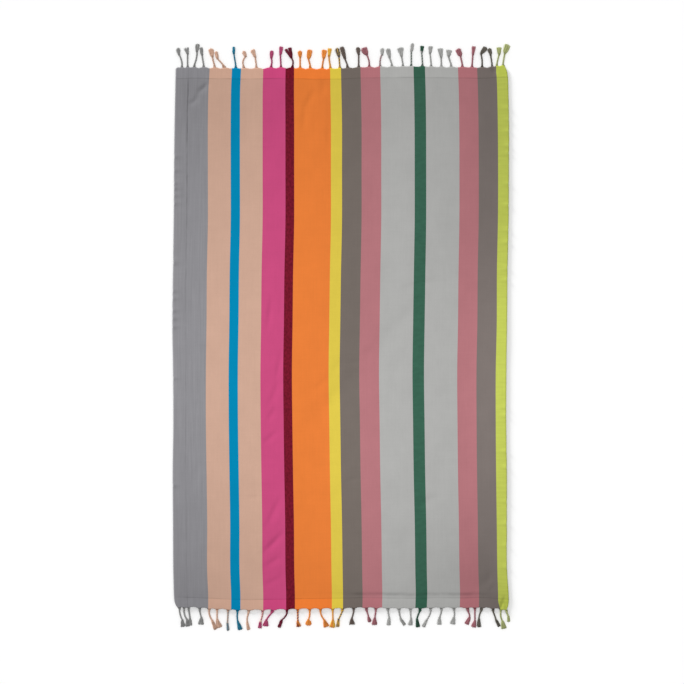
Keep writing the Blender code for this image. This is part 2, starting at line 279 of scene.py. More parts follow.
BOTTOM_TASSELS = [Tassel(*row) for row in (
    (-483, -2, 9, 34, 11, 54, 14, "grey"),
    (-468, -4, 8, 32, 10, 53, 12, "grey"),
    (-457, 1, 6, 30, 7, 50, 12, "grey"),
    (-424, 0, 7, 27, 6, 47, 18, "grey"),
    (-394, -3, 9, 35, 20, 61, 12, "beige"),
    (-370, 0, 0, 32, 7, 56, 17, "beige"),
    (-337, 0, -2, 43, 0, 65, 8, "beige grey", None, "blue grey grey"),
    (-308, -2, 0, 39, 8, 63, 14, "blue"),
    (-273, -3, -7, 41, -3, 63, 10, "beige"),
    (-233, 1, -7, 38, -9, 58, 12, "pink beige", None, "pink"),
    (-200, -2, -23, 34, -25, 52, 18, "pink"),
    (-161, 5, -16, 34, -24, 56, 11, "maroon"),
    (-129, 0, 0, 38, 3, 54, 14, "maroon orange"),
    (-94, 2, -3, 33, -3, 50, 17, "orange", CLUB),
    (-62, -3, 12, 34, 19, 54, 17, "orange"),
    (-25, 0, 1, 34, -1, 56, 18, "yellow orange", None, "yellow yellow orange"),
    (7, 0, -14, 32, -17, 54, 10, "yellow taupe", None, "taupe yellow"),
    (39, 1, -7, 30, -6, 47, 17, "taupe"),
    (72, 2, 10, 26, 14, 39, 13, "rose"),
    (105, 0, -4, 28, -5, 48, 16, "rose"),
    (139, 0, 5, 28, 3, 49, 13, "light"),
    (172, 0, 6, 30, 18, 49, 10, "light"),
    (207, 0, 2, 30, 0, 49, 14, "light"),
    (240, -2, -13, 31, -10, 55, 13, "green"),
    (269, 3, -14, 35, -23, 54, 12, "light"),
    (301, 1, -7, 27, -8, 47, 15, "light"),
    (335, 3, 2, 26, -2, 46, 17, "light"),
    (374, 3, 10, 26, 1, 46, 14, "rose"),
    (400, 0, 0, 37, -4, 55, 15, "rose"),
    (424, -3, -12, 31, -12, 55, 13, "stone"),
    (451, 1, 12, 34, 22, 53, 10, "stone"),
    (478, -3, 4, 37, 9, 59, 16, "lime"),
    (492, 0, 8, 23, 9, 39, 9, "lime"),
)]
FRINGES = {1: TOP_TASSELS, -1: BOTTOM_TASSELS}
print({end: len(tassels) for end, tassels in FRINGES.items()}, "tassels at top (1) and bottom (-1)")

# %% [markdown]
# ## Scalloped ends
#
# Where a bundle is gathered, it pulls the last weft outwards. At the bottom the weft between two bundles
# has slackened into a shallow arch, and the arches meet in cusps. At the top it was pushed together
# into a round lobe at each root, and the lobes meet in small dips.

# %% Arches between the roots
ARCH_DEPTH = {1: 0.12, -1: 0.15}  # of the distance between two roots, at the top and the bottom
ARCH_MOST = 0.0052
LOBE_POWER = 1.7
ARCH_FADE = 0.009  # how quickly the arches die away inside the cloth


def arch(x, end):
    """Inward depth at x between two roots: arches 4t(1 - t) below, lobes (1 - |2t - 1|)^1.7 above."""
    roots = column(FRINGES[end], "root")
    i = np.searchsorted(roots, x)
    inside = (i > 0) & (i < len(roots))
    low, high = roots[np.clip(i - 1, 0, len(roots) - 1)], roots[np.clip(i, 0, len(roots) - 1)]
    gap = np.maximum(high - low, MM)
    t = np.clip((x - low) / gap, 0, 1)
    depth = np.minimum(ARCH_DEPTH[end] * gap, ARCH_MOST)
    shape = (1 - np.abs(2 * t - 1)) ** LOBE_POWER if end > 0 else 4 * t * (1 - t)
    return np.where(inside, depth * shape, 0.0)


# %% [markdown]
# ## Creases
#
# The cloth was folded, and it has relaxed into a few soft creases: a fold line down the grey stripe,
# slanting puckers in the pink one, and two long diagonal swells through the middle. A crease is a bell
# curve across its line that rises and falls along it. These are shallow troughs, so their heights are
# negative, and at the end the whole cloth is set down on its lowest point.

# %% The creases, in mm and degrees
Crease = namedtuple("Crease", "x y heading half_length half_width height")
CREASE_RETURN = 1.9  # how much wider the right side of a crease is
CREASES = [Crease(*row) for row in (
    # fold line of the grey stripe, and the crease that turns off it
    (-460, 695, 90, 86, 5, -0.35),
    (-414, 747, 42, 30, 5, -1.7),
    (-434, 716, 66, 20, 5, -1.1),
    (-446, 705, 22, 18, 5, -1.1),
    (-431, -405, 86, 44, 5, -0.35),
    # soft folds that run down from the top end of the orange stripe
    (-95, 715, 64, 40, 7, -0.9),
    (-111, 660, 84, 50, 7, -0.8),
    (-55, 749, 88, 36, 6, -0.8),
    (-37, 612, 88, 80, 7, -0.5),
    # puckers of the pink stripe
    (-233, 566, 0, 60, 5, -0.25),
    (-214, 76, 83, 70, 6, -0.8),
    (-187, -85, 80, 70, 6, -0.8),
    (-199, -163, 68, 54, 7, -0.8),
    (-208, -227, 60, 34, 6, -0.6),
    (-212, -296, 40, 38, 6, -0.7),
    (-203, -520, 66, 66, 7, -1.0),
    (-203, -610, 46, 60, 6, -1.4),
    (-205, -667, 32, 44, 6, -0.8),
    (-202, -724, 26, 40, 6, -0.7),
    # long swells across the middle
    (-20, -177, 50, 200, 22, -0.8),
    (194, 66, 46, 170, 20, -0.75),
    (80, -42, 35, 26, 12, -0.6),
    (-57, -135, 40, 42, 8, -0.45),
    (-8, -80, 57, 38, 8, -0.45),
    (236, 162, 15, 80, 9, -0.6),
    # short wrinkles
    (-262, -474, 5, 26, 5, -0.5),
    (34, -420, 8, 22, 5, -0.5),
    (34, -71, 5, 20, 5, -0.4),
    (236, -494, 70, 18, 8, -0.7),
    (268, -480, 12, 36, 9, -0.6),
    (436, -722, 62, 34, 8, -1.0),
    (414, -735, 75, 24, 7, -0.5),
    (452, -745, 50, 22, 6, -0.5),
    (479, -797, 78, 18, 4, -2.0),
    (492, -797, 108, 18, 4, -1.6),
    (486, -780, 70, 18, 4, -1.1),
    (-460, -780, 60, 10, 5, -0.3),
    # where the bundle beside the last stripe pulls at the cloth
    (458, 800, -59, 18, 4, -2.0),
    # the press line just inside the bottom heading
    (130, -764, 0, 320, 5, -0.35),
)]
Pucker = namedtuple("Pucker", "side along")
PUCKERS = tuple(
    Pucker(side, along)
    for side, places in (
        (-1, (543, 503, 464, 449, 428, 404, 234, 225, 144, 120, 85, 61, 35, -118, -438)),
        (1, (688, 652, 619, 575, 554, 461, 398, 324, 288, 210, 174, -205, -229, -337)),
        (1, (-385, -486, -552, -618, -683)),
    )
    for along in places
)
PUCKER_LENGTH, PUCKER_HALF, PUCKER_HIGH, PUCKER_DRAW = 0.036, 0.0046, 0.0017, 0.0008


def ridge(x, y, crease):
    """height * bell(across the line) * (1 - s^2)^2, where s runs from -1 to 1 along the line.

    The bell is wider on the right of the line, because a fold drops sharply and comes up slowly.
    """
    heading = math.radians(crease.heading)
    dx, dy = x - crease.x * MM, y - crease.y * MM
    along = (dx * math.cos(heading) + dy * math.sin(heading)) / (crease.half_length * MM)
    across = (dy * math.cos(heading) - dx * math.sin(heading)) / (crease.half_width * MM)
    across = np.where(across < 0, across / CREASE_RETURN, across)
    taper = np.clip(1 - along**2, 0, 1) ** 2
    return crease.height * MM * taper * np.exp(-(across**2))


def pucker(x, y, one):
    """1 at the selvedge on the pucker's line, falling as a bell along it and to 0 inwards."""
    inward = np.clip((WIDTH / 2 - one.side * x) / PUCKER_LENGTH, 0, 1)
    return (1 - inward) ** 2 * np.exp(-(((y - one.along * MM) / PUCKER_HALF) ** 2))


# %% [markdown]
# Between the creases the cloth isn't a perfect plane either: a few long, low waves with unlike
# directions and lengths add up to a swell that never repeats. The right selvedge and the bottom end
# stand a little off the surface.

# %% Swell, and the lift of the edges
Wave = namedtuple("Wave", "length_mm heading phase height_mm")
SWELL = [Wave(*row) for row in (
    (310, 40, 0.4, 0.30),
    (190, 118, 2.1, 0.22),
    (127, 65, 4.4, 0.12),
    (83, 152, 1.3, 0.07),
    (61, 20, 5.2, 0.045),
    (43, 97, 3.0, 0.03),
)]
EDGE_LIFT = {"left": 0.0, "right": 0.0010, "top": 0.0, "bottom": 0.0010}
RIGHT_LOW_AT, RIGHT_LOW_SHARE = 0.5, 0.45  # from here up, the right edge has lost this share of its lift
EDGE_SOFT = {"left": 0.02, "right": 0.06, "top": 0.03, "bottom": 0.06}


def swell(x, y):
    """A sum of sine waves, raised so that its lowest point is zero."""
    height = np.zeros_like(x)
    for wave in SWELL:
        heading = math.radians(wave.heading)
        run = x * math.cos(heading) + y * math.sin(heading)
        turn = 2 * math.pi * run / (wave.length_mm * MM) + wave.phase
        height += wave.height_mm * MM * 0.5 * (1 + np.sin(turn))
    return height


def edge_lift(x, y):
    """Each edge rises as a bell whose top is on the edge; where two meet, the higher one counts."""
    inward = {"left": WIDTH / 2 + x, "right": WIDTH / 2 - x, "top": LENGTH / 2 - y, "bottom": LENGTH / 2 + y}
    lifts = {}
    for name, depth in inward.items():
        lifts[name] = EDGE_LIFT[name] * np.exp(-((depth / EDGE_SOFT[name]) ** 2))
    lifts["right"] *= 1 - RIGHT_LOW_SHARE * np.clip(y / RIGHT_LOW_AT, 0, 1)
    return np.max(list(lifts.values()), axis=0)


# %% [markdown]
# ## The cloth
#
# A grid is laid over the flat cut and then moved: sideways by the creep, the rounded corners and the
# puckers, lengthways by the bowed and arched ends, and up by the creases. Its lines are closer together
# where the small shapes are, so that the mesh stays light.

# %% The grid of the flat cut
Zone = namedtuple("Zone", "start_mm end_mm step_mm")
COLUMN_ZONES = [Zone(*row) for row in (
    (-500, -440, 3.6),
    (-440, -395, 4.5),
    (-395, -240, 10.0),
    (-240, -165, 4.5),
    (-165, -20, 6.0),
    (-20, 440, 9.5),
    (440, 500, 3.0),
)]
ROW_ZONES = (Zone(-807.5, -750, 2.9), Zone(-750, 750, 5.2), Zone(750, 807.5, 2.9))
BOW_POWER = 6  # the bow of an end dies away quickly inside the cloth


def grid_lines(zones):
    """Even steps inside each zone, no wider than its own step; the zones follow one another."""
    lines = [np.array([zones[0].start_mm])]
    for zone in zones:
        steps = math.ceil((zone.end_mm - zone.start_mm) / zone.step_mm)
        lines.append(np.linspace(zone.start_mm, zone.end_mm, steps + 1)[1:])
    return np.concatenate(lines) * MM


u_lines, v_lines = grid_lines(COLUMN_ZONES), grid_lines(ROW_ZONES)
print(f"grid of {len(u_lines)} by {len(v_lines)} points")


# %% Move the grid into its shape
def cloth_shape(u, v):
    """The place in space of the point u across and v along the flat cut."""
    end = np.sign(v)
    to_end = LENGTH / 2 - np.abs(v)
    near_end = np.exp(-to_end / ARCH_FADE)
    bowed = np.where(end > 0, end_reach(u, 1), end_reach(u, -1)) * (np.abs(v) / (LENGTH / 2)) ** BOW_POWER
    y = v + end * bowed
    x = u + creep(u, y) + corner_draw(u, v) + pinch(u, v)
    z = swell(x, y) + edge_lift(u, v)
    for crease in CREASES:
        z += ridge(x, y, crease)
    for one in PUCKERS:
        bump = pucker(u, y, one)
        z += PUCKER_HIGH * bump
        x -= one.side * PUCKER_DRAW * bump
    z -= z.min()
    arched = np.where(end > 0, arch(x, 1), arch(x, -1)) * near_end
    return np.stack([x, y - end * arched, z], axis=-1)


def grid_faces(rows, columns):
    """The four corners of each cell of a grid of points, anticlockwise seen from above."""
    index = np.arange(rows * columns).reshape(rows, columns)
    corners = (index[:-1, :-1], index[:-1, 1:], index[1:, 1:], index[1:, :-1])
    return np.stack(corners, axis=-1).reshape(-1, 4)


def add_object(name, data, location=(0.0, 0.0, 0.0), turn=(0.0, 0.0, 0.0)):
    """Puts mesh, light or camera data in the scene."""
    obj = bpy.data.objects.new(name, data)
    obj.location, obj.rotation_euler = location, turn
    bpy.context.scene.collection.objects.link(obj)
    return obj


def mesh_object(name, points, faces, uv, values):
    """A mesh object from arrays, with a UV map in metres and one float attribute per named value."""
    mesh = bpy.data.meshes.new(name)
    mesh.from_pydata(points.reshape(-1, 3), [], faces)
    layer = mesh.uv_layers.new(name="flat")
    corner_vertex = np.empty(len(mesh.loops), np.int32)
    mesh.loops.foreach_get("vertex_index", corner_vertex)
    layer.data.foreach_set("uv", uv.reshape(-1, 2)[corner_vertex].astype(np.float32).ravel())
    for key, value in values.items():
        attribute = mesh.attributes.new(key, "FLOAT", "POINT")
        attribute.data.foreach_set("value", np.asarray(value, np.float32).ravel())
    mesh.shade_smooth()
    return add_object(name, mesh)


# %% [markdown]
# ### Painted shade over the cloth
#
# The light doesn't fall evenly over the cloth, and this is painted shade in the colour: the middle is
# lighter than the ends, and the selvedges are the least even. Every point of the cloth keeps its own
# lightness as an attribute, which the material multiplies the dye by. The heading, the band outside the
# thin line near each end, was folded away from the sun, and its dyes are fresher.

# %% Painted shade, as an attribute of the cloth
Fade = namedtuple("Fade", "along grey orange taupe light green stone lime")
PAINTED_SHADE = [Fade(*row) for row in (  # thousandths of the full lightness, which column() makes shares
    (800, 830, 895, 845, 870, 815, 775, 790),
    (722, 815, 895, 850, 880, 835, 770, 800),
    (548, 885, 935, 905, 927, 865, 800, 825),
    (324, 940, 980, 950, 967, 890, 865, 880),
    (10, 1000, 1000, 985, 1000, 975, 1040, 1055),
    (-274, 990, 1000, 1060, 1020, 985, 1075, 1015),
    (-573, 895, 970, 990, 960, 910, 905, 915),
    (-728, 820, 915, 910, 890, 790, 765, 820),
    (-800, 755, 905, 825, 820, 775, 740, 640),
)]
PAINTED_SHADE_AT = (-0.450, -0.100, 0.030, 0.170, 0.350, 0.438, 0.485)
HEADING = 0.033  # from the end to the thin line

u_grid, v_grid = np.meshgrid(u_lines, v_lines)
# painted shade: a lightness for each point, darker towards the ends than in the middle
painted_shade = across_lines(u_grid, v_grid, PAINTED_SHADE_AT, PAINTED_SHADE, Fade._fields[1:])
in_heading = np.clip((np.abs(v_grid) - (LENGTH / 2 - HEADING)) / MM, 0, 1)
cloth_points = cloth_shape(u_grid, v_grid)
cloth = mesh_object(
    "towel_cloth_woven",
    cloth_points,
    grid_faces(*u_grid.shape),
    np.stack([u_grid, v_grid], axis=-1),
    {"painted_shade": painted_shade, "heading": in_heading},
)
print("cloth lifts by at most", round(float(cloth_points[..., 2].max()) / MM, 2), "mm")

# %% [markdown]
# The grid is the cloth's underside. Solidify gives it its thickness upwards, and closes the edges with
# a rim, so the sheet is one closed body as a real cloth is.

# %% Thickness
thickness = cloth.modifiers.new("thickness of the cloth", "SOLIDIFY")
thickness.thickness = THICK
thickness.offset = 1.0

# %% [markdown]
# ## Yarn
#
# All of the fringe is yarn: thin round tubes along smooth paths, swept many at once. The tube's direction
# at a point of its path is that of the chord between its neighbours, and the circle stands square to
# it. Each ring is joined to the next one, and a flat cap closes each end.


# %% Sweep a circle along many paths
def unit(vectors):
    """Each vector divided by its own length."""
    return vectors / np.maximum(np.linalg.norm(vectors, axis=-1, keepdims=True), 1e-12)


def across_path(path, reference):
    """Two unit vectors square to the path and to each other, the first nearest the reference."""
    tangent = unit(np.gradient(path, axis=-2))
    lean = np.sum(reference * tangent, axis=-1, keepdims=True)
    first = unit(reference - lean * tangent)
    return first, np.cross(tangent, first)


def tubes(paths, radii, sides, reference=(0.0, 0.0, 1.0), loop=False):
    """Rings p + r (cos a first + sin a second) along each path; returns points, walls and caps.

    A path is lifted first where its tube would sink into the surface that the towel lies on.
    """
    count, steps = paths.shape[:2]
    paths = np.concatenate([paths[..., :2], np.maximum(paths[..., 2:], radii[..., None])], axis=-1)
    first, second = across_path(paths, np.broadcast_to(np.asarray(reference, float), paths.shape))
    angle = 2 * math.pi * np.arange(sides) / sides
    ring = np.cos(angle)[:, None] * first[..., None, :] + np.sin(angle)[:, None] * second[..., None, :]
    points = paths[..., None, :] + radii[..., None, None] * ring
    index = np.arange(count * steps * sides).reshape(count, steps, sides)
    ahead = np.roll(index, -1, axis=1) if loop else index[:, 1:]
    here = index if loop else index[:, :-1]
    turned, ahead_turned = np.roll(here, -1, axis=2), np.roll(ahead, -1, axis=2)
    walls = np.stack([here, turned, ahead_turned, ahead], axis=-1).reshape(-1, 4)
    caps = np.empty((0, sides), int) if loop else np.concatenate([index[:, 0, ::-1], index[:, -1]])
    return points, walls, caps


# %% [markdown]
# ## The path of a tassel
#
# The cord runs straight from root to knot plus a parabola for its bow, and rises from the middle of
# the cloth until it lies on the surface. The tuft goes straight on to its tip. Both are worked out for
# every tassel of an end at once: rows are tassels, columns are places along the path.

# %% Cord and tuft centre lines
CORD_HALF, KNOT_HALF = 0.0028, 0.0036
ROOT_HIGH, TIP_HIGH = 0.0014, 0.0018
SETTLE = 0.012  # the cord lies on the surface from here on


def centre_line(tassels, end, share):
    """Points at a share of the cord, 0 at the root and 1 at the knot, for each tassel."""
    rows = {name: column(tassels, name)[:, None] for name in Tassel._fields[:7]}
    side = rows["knot_side"] * share + rows["bow"] * 4 * share * (1 - share)
    reach = end_reach(rows["root"], end)
    out = reach + (rows["knot_out"] - reach) * share
    settle = np.clip((out - reach) / SETTLE, 0, 1)
    z = ROOT_HIGH + EDGE_LIFT["top" if end > 0 else "bottom"] * (1 - settle)
    z = z + (CORD_HALF - ROOT_HIGH) * settle
    x = rows["root"] + side
    return np.stack([x, end * (LENGTH / 2 + out), np.broadcast_to(z, x.shape)], axis=-1)


def knot_and_tip(tassels, end):
    """The knot's centre, the tip's centre and the unit vector between them, for each tassel."""
    places = []
    for name, high in (("knot", KNOT_HALF), ("tip", TIP_HIGH)):
        x = column(tassels, "root") + column(tassels, name + "_side")
        y = end * (LENGTH / 2 + column(tassels, name + "_out"))
        places.append(np.stack([x, y, np.full_like(x, high)], axis=-1))
    return places[0], places[1], unit(places[1] - places[0])


# %% [markdown]
# ### Twisted cord
#
# A cord is two strands laid round each other. Each follows a helix about the centre line, half a turn
# apart, with one turn every 8 mm. They touch, so their radius is about their distance from the centre.

# %% Two strands round each other
CORD_STEPS, CORD_FROM = 34, 0.04  # points, and the share of the cord that the first one is at
PLY_HALF, PLY_OUT, PITCH = 0.00152, 0.00126, 0.0078


def cord_strands(tassels, end, rng):
    """Paths and radii of both strands: centre + out (cos a side + sin a up), a growing with length."""
    share = np.linspace(CORD_FROM, 1.0, CORD_STEPS)
    centre = centre_line(tassels, end, share)
    side, up = across_path(centre, np.broadcast_to((0.0, 0.0, 1.0), centre.shape))
    length = np.linalg.norm(np.diff(centre, axis=1), axis=-1).sum(axis=1)
    start = rng.uniform(0, 2 * math.pi, len(tassels))
    turn = start[:, None] + 2 * math.pi * (length / PITCH)[:, None] * share
    paths, radii = [], []
    for half_turn in (0.0, math.pi):
        angle = (turn + half_turn)[..., None]
        paths.append(centre + PLY_OUT * (np.cos(angle) * side + np.sin(angle) * up))
        radii.append(np.full(centre.shape[:2], PLY_HALF) * rng.uniform(0.92, 1.08, (len(tassels), 1)))
    return paths, radii


# %% [markdown]
# ### Root fan
#
# Between the cloth and the twist the warp ends run free. They leave the cloth side by side, hug
# the arched edge, and turn out into the cord, which is what makes each root look like a small fillet.

# %% Warp ends gathered into the root
FAN_YARNS, FAN_STEPS = 9, 9
FAN_DEEP, FAN_OUT = 0.002, 0.0105  # from inside the edge to where the twist has taken all the yarns
FAN_WIDEST, FAN_SHARE = 0.0078, 0.8  # half the fan, at most this share of half the way to the next root
FAN_CLEAR, FAN_CROWN = 0.0003, 0.0007  # above the cloth at the edge, and higher in the fan's middle
YARN_HALF = 0.00066


def root_fans(tassels, end):
    """x eases to the cord early, y late, so each yarn leaves along the edge and then turns out."""
    roots = column(tassels, "root")
    gaps = np.diff(roots)
    nearest = np.minimum(np.append(gaps[0], gaps), np.append(gaps, gaps[-1])) / 2
    reach = np.minimum(nearest * FAN_SHARE, FAN_WIDEST)[:, None, None]
    spread = np.linspace(-1, 1, FAN_YARNS)[None, :, None]
    s = np.linspace(0, 1, FAN_STEPS)[None, None, :]
    share = FAN_OUT / column(tassels, "knot_out")[:, None]
    target = centre_line(tassels, end, share)[:, :, None, :]
    start_x = roots[:, None, None] + spread * reach
    start_y = end * (LENGTH / 2 + end_reach(start_x, end) - arch(start_x, end) - FAN_DEEP)
    ease_x, ease_y = 1 - (1 - s) ** 1.7, s**1.5
    x = start_x + (target[..., 0] + spread * PLY_HALF - start_x) * ease_x
    y = start_y + (target[..., 1] - start_y) * ease_y
    low = EDGE_LIFT["top" if end > 0 else "bottom"] + THICK / 2 + FAN_CLEAR
    z = low + (target[..., 2] - low + FAN_CROWN * (1 - spread**2)) * ease_y
    path = np.stack([x, y, np.broadcast_to(z, x.shape)], axis=-1).reshape(-1, FAN_STEPS, 3)
    return path, np.full(path.shape[:2], YARN_HALF)


# %% [markdown]
# ### Knot
#
# Each cord ends in an overhand knot, and an overhand knot with its ends joined is the trefoil. Its
# formula, turned to the cord's direction, gives a true knot for the few dozen faces that each may have.

# %% A trefoil for each knot
KNOT_STEPS = 30
KNOT_SIZE, KNOT_STRAND = 0.00084, 0.00138
KNOT_FLAT, KNOT_LONG = 0.86, 1.7  # its height and its length, against its width


def knots(tassels, end, rng):
    """(sin t + 2 sin 2t, cos t - 2 cos 2t, -sin 3t), its third axis along the cord."""
    knot, _, ahead = knot_and_tip(tassels, end)
    up = np.broadcast_to((0.0, 0.0, 1.0), ahead.shape)
    side = unit(np.cross(ahead, up))
    up = np.cross(side, ahead)
    t = np.linspace(0, 2 * math.pi, KNOT_STEPS, endpoint=False)
    roll = rng.uniform(0, 2 * math.pi, (len(tassels), 1))
    flat_x, flat_y = np.sin(t) + 2 * np.sin(2 * t), np.cos(t) - 2 * np.cos(2 * t)
    across = np.cos(roll) * flat_x - np.sin(roll) * flat_y
    height = np.sin(roll) * flat_x + np.cos(roll) * flat_y
    path = knot[:, None, :] + KNOT_SIZE * (
        across[..., None] * side[:, None, :]
        + KNOT_FLAT * height[..., None] * up[:, None, :]
        - KNOT_LONG * np.sin(3 * t)[None, :, None] * ahead[:, None, :]
    )
    radial = unit(path - knot[:, None, :])
    return path, np.full(path.shape[:2], KNOT_STRAND), radial


# %% [markdown]
# ### Tuft
#
# Past the knot the yarns untwist and splay like a small broom cut off square. Every yarn starts in the
# knot and runs to its own place on the cut, with a little wave and a little more or less length. The
# places are spread evenly with some luck mixed in, so the tuft is full and still uneven.

# %% Frayed ends
Kind = namedtuple("Kind", "yarns half wild")
TUFT_KINDS = (Kind(30, 0.00092, 1.0), Kind(4, 0.00024, 1.2))  # the body of a tuft, and a few stray ends
TUFT_STEPS = 8
TUFT_FROM, TUFT_THICK, THROAT_HALF = 0.001, 0.0030, 0.0028
CLUB_OPENING, FAN_OPENING = 2.3, 1.15  # a club is wide straight after the knot
CLUB_ROUNDING, FAN_ROUNDING = 0.0022, 0.0005
LANE_LUCK, WAVE_HIGH, LENGTH_LUCK = 0.2, 0.0005, 0.0008
START_SPREAD, FALL_POWER = 0.0022, 1.3  # how high in the knot the yarns start, and how soon they lie down
FULL_FLARE, FULL_LEAST, FULL_MOST = 0.013, 0.9, 1.5  # a wide tuft has thicker yarns
TIP_THINNER = 0.3


def tufts(tassels, end, rng, kind):
    """Half width t + (flare/2 - t)(1 - (1 - s)^opening), t being the knot's; a split parts the middle."""
    knot, tip, ahead = knot_and_tip(tassels, end)
    yarns, half, wild = kind
    count, flare = len(tassels), column(tassels, "flare")
    side = unit(np.cross(ahead, (0.0, 0.0, 1.0)))[:, None, None, :]
    split = np.array([tassel.split for tassel in tassels])[:, None]
    usual = CLUB if end > 0 else FAN
    fan = np.array([(tassel.opening or usual) == FAN for tassel in tassels])[:, None]
    opening = np.where(fan, FAN_OPENING, CLUB_OPENING)[..., None]
    rounding = np.where(fan, FAN_ROUNDING, CLUB_ROUNDING)
    s = np.linspace(0, 1, TUFT_STEPS)[None, None, :]
    lane = np.linspace(-1, 1, yarns)[None] + rng.uniform(-LANE_LUCK, LANE_LUCK, (count, yarns))
    lane = np.clip(lane, -1, 1)[:, rng.permutation(yarns)]
    open_lane = np.sign(lane) * (split + (1 - split) * np.abs(lane))
    lanes = lane[..., None] * (1 - s) + open_lane[..., None] * s
    widest = np.maximum(0.5 * flare[:, None] * wild - half, THROAT_HALF)
    width = THROAT_HALF + (widest[..., None] - THROAT_HALF) * (1 - (1 - s) ** opening)
    wave = rng.normal(0.0, WAVE_HIGH * wild, (count, yarns))[..., None] * np.sin(math.pi * 2 * s)
    sideways = (lanes * width + wave)[..., None]
    longer = rng.normal(0.0, LENGTH_LUCK * wild, (count, yarns)) - rounding * lane**2
    span = np.linalg.norm(tip - knot, axis=-1)[:, None] + longer - TUFT_FROM
    forward = (TUFT_FROM + span[..., None] * s)[..., None]
    path = knot[:, None, None, :] + forward * ahead[:, None, None, :] + sideways * side
    level = rng.uniform(0.0, 1.0, (count, yarns))[..., None]
    start = KNOT_HALF + START_SPREAD * (2 * level - 1)
    floor = half + TUFT_THICK * level * (1 - 0.5 * lane[..., None] ** 2)
    path[..., 2] = start * (1 - s) ** FALL_POWER + floor * (1 - (1 - s) ** FALL_POWER)
    fuller = np.clip(flare / FULL_FLARE, FULL_LEAST, FULL_MOST)[:, None, None]
    taper = half * fuller * (1 - TIP_THINNER * s**2) * rng.uniform(0.85, 1.1, (count, yarns))[..., None]
    return path.reshape(-1, TUFT_STEPS, 3), np.broadcast_to(taper, path.shape[:3]).reshape(-1, TUFT_STEPS)


# %% [markdown]
# ## One fringe
#
# The tubes of an end are joined into one mesh. A yarn's UV map says where across the towel a stripe of
# its dye lies, so one row of stripes serves cloth and fringe alike. Each yarn also has a tone of its own,
# a little lighter or darker than its neighbours, and the tone holds painted shade too: cords and knots
# are darker than the tufts, and the second strand of each cord has a painted highlight.

# %% Dyes of the strands
stripe_edges = np.cumsum([0] + [stripe.width_mm for stripe in STRIPES]) * MM - WIDTH / 2
stripe_middle = {}
for stripe, low, high in zip(STRIPES, stripe_edges[:-1], stripe_edges[1:]):
    stripe_middle[stripe.dye] = (low + high) / 2


def dye_places(tassels, number, in_tuft=False):
    """The dye of one numbered yarn of each tassel, as a place: its yarns take its dyes in turn."""
    places = []
    for tassel in tassels:
        dyes = (tassel.tuft if in_tuft and tassel.tuft else tassel.strands).split()
        places.append(stripe_middle[dyes[number % len(dyes)]])
    return np.array(places)


# %% Join the tubes of one end
# painted shade and light: cords and knots get darker tones than the tufts, and the second strand of each
# cord a painted highlight
STRAND_PAINTED_SHADE, SECOND_STRAND_PAINTED_HIGHLIGHT = (0.70, 0.84), 0.16  # the second strand of a cord catches more light
FAN_TONE, KNOT_PAINTED_SHADE, TUFT_TONE = (0.8, 1.0), (0.72, 0.86), (0.84, 1.09)


def tube_set(paths, radii, sides, place, tone, **how):
    """One batch of tubes with its UV (dye place, length along the yarn) and its tone, which may hold painted
    shade.
    """
    points, walls, caps = tubes(paths, radii, sides, **how)
    steps = np.linalg.norm(np.diff(paths, axis=1, prepend=paths[:, :1]), axis=-1)
    along = np.cumsum(steps, axis=1)
    shape = points.shape[:3]
    uv = np.stack(
        [np.broadcast_to(place[:, None, None], shape), np.broadcast_to(along[..., None], shape)], axis=-1
    )
    return points, walls, caps, uv, np.broadcast_to(tone[:, None, None], shape)


def fringe(name, end, rng):
    """All the cords, root fans, knots and tufts of one end, as one mesh object."""
    tassels = FRINGES[end]
    count = len(tassels)
    sets = []
    strands, strand_radii = cord_strands(tassels, end, rng)
    for part in (0, 1):
        tone = rng.uniform(*STRAND_PAINTED_SHADE, count) + SECOND_STRAND_PAINTED_HIGHLIGHT * part
        sets.append(tube_set(strands[part], strand_radii[part], 6, dye_places(tassels, part), tone))
    fan, fan_radii = root_fans(tassels, end)
    fan_places = np.stack([dye_places(tassels, i * 2 // FAN_YARNS) for i in range(FAN_YARNS)], 1)
    sets.append(tube_set(fan, fan_radii, 5, fan_places.ravel(), rng.uniform(*FAN_TONE, len(fan))))
    knot, knot_radii, radial = knots(tassels, end, rng)
    tone = rng.uniform(*KNOT_PAINTED_SHADE, count)
    sets.append(tube_set(knot, knot_radii, 6, dye_places(tassels, 1), tone, reference=radial, loop=True))
    for kind in TUFT_KINDS:
        ends, end_radii = tufts(tassels, end, rng, kind)
        places = np.stack([dye_places(tassels, i, in_tuft=True) for i in range(kind.yarns)], 1)
        sets.append(tube_set(ends, end_radii, 4, places.ravel(), rng.uniform(*TUFT_TONE, len(ends))))
    faces, start = [], 0
    for points, walls, caps, _, _ in sets:
        faces += (walls + start).tolist() + (caps + start).tolist()
        start += points.size // 3
    joined = np.concatenate([batch[0].reshape(-1, 3) for batch in sets])
    uv = np.concatenate([batch[3].reshape(-1, 2) for batch in sets])
    tones_and_painted_shade = np.concatenate([batch[4].ravel() for batch in sets])
    return mesh_object(name, joined, faces, uv, {"tone": tones_and_painted_shade})


fringes = {
    end: fringe(name, end, np.random.default_rng(seed))
    for name, end, seed in (("fringe_top_tassels", 1, 11), ("fringe_bottom_tassels", -1, 12))
}
for piece in fringes.values():
    low, high = piece.bound_box[0][2] / MM, piece.bound_box[6][2] / MM
    print(f"{piece.name}: {len(piece.data.polygons)} faces, from {low:.2f} to {high:.2f} mm high")

# %% [markdown]
# ## Materials
#
# Colours are written as the sRGB values that a dyer's card would give, and one function turns them into
# the linear numbers that the shader works in. One more function adds a node with its settings and links,
# which keeps each material short enough to read.


# %% Helpers for materials
def linear(hex_colour):
    """sRGB hex to linear RGBA: c/12.92 for dark values, else ((c + 0.055) / 1.055)^2.4."""
    srgb = [int(hex_colour[i : i + 2], 16) / 255 for i in (0, 2, 4)]
    return (*[c / 12.92 if c <= 0.04045 else ((c + 0.055) / 1.055) ** 2.4 for c in srgb], 1.0)


